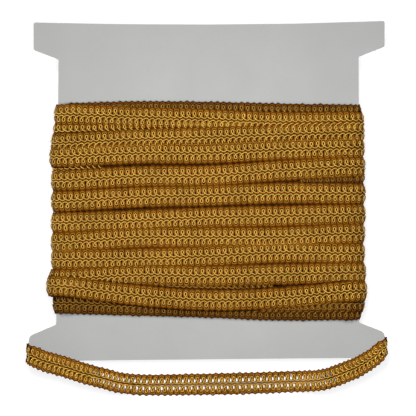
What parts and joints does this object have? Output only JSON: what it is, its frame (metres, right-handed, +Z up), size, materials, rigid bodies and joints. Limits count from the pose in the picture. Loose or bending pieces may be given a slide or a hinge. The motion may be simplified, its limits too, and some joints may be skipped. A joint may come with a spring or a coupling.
{
  "type": "gimp trim on card",
  "caption": "Flat scroll gimp trim wound in rows round a notched board card, with one loose length folded round the card's lower ears.",
  "frame": {"origin": "on the surface, under the middle of the object's footprint as it lies on its back", "axes": "+X to the card's right, +Y towards the card's top edge, +Z up from the surface, out of the wound face"},
  "size_m": [0.2224, 0.2288, 0.0187],
  "materials": {
    "card": "smooth uncoated pale grey board",
    "trim": "satin rayon thread wound over a cord, antique gold"
  },
  "bodies": {
    "root": {"card": "card", "wound_trim": "trim", "loose_length": "trim"}
  },
  "joints": []
}
